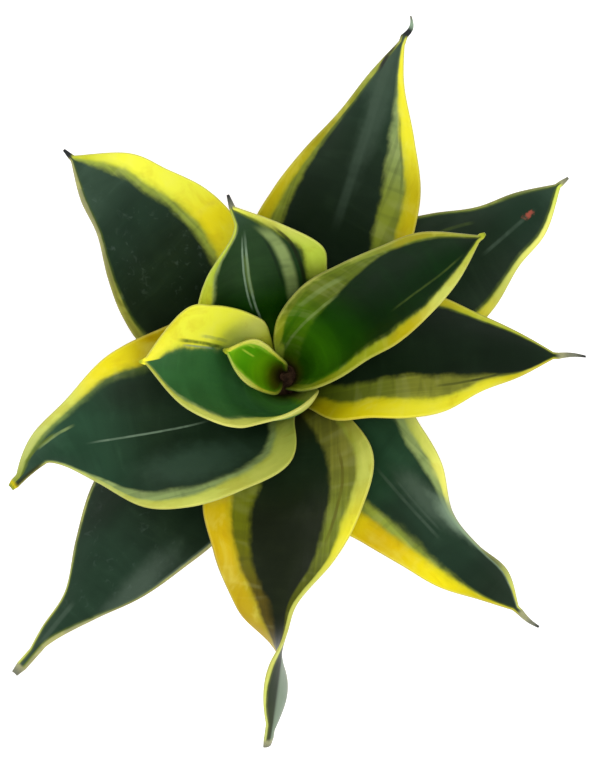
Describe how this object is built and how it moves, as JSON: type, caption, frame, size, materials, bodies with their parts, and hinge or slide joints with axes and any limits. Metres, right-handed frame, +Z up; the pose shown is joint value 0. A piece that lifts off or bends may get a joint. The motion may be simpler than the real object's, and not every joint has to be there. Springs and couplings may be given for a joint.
{
  "type": "potted snake plant",
  "caption": "Dwarf bird's-nest snake plant: a low open rosette of broad dark green leaves with wide yellow margins, round a small furled funnel, in a plain tapered pot.",
  "frame": {"origin": "centre of the pot's flat base, on the surface it stands on", "axes": "+Z up along the pot's axis; +Y along the rosette's longest direction, towards the tip of the long north leaf; +X towards the east leaf"},
  "size_m": [0.1919, 0.2442, 0.1606],
  "materials": {
    "pot": "matte",
    "soil": "matte",
    "rhizome": "matte",
    "leaf": "satin",
    "inner_leaf": "satin",
    "young_leaf": "satin"
  },
  "bodies": {
    "root": {"pot": "pot", "soil": "soil", "rhizome": "rhizome", "leaf_heart": "young_leaf", "leaf_northeast_inner": "inner_leaf", "leaf_west_inner": "inner_leaf", "leaf_northwest_inner": "inner_leaf", "leaf_west": "leaf", "leaf_east": "leaf", "leaf_south": "leaf", "leaf_north": "leaf", "leaf_northwest": "leaf", "leaf_southeast": "leaf", "leaf_southwest": "leaf", "leaf_northeast": "leaf"}
  },
  "joints": []
}
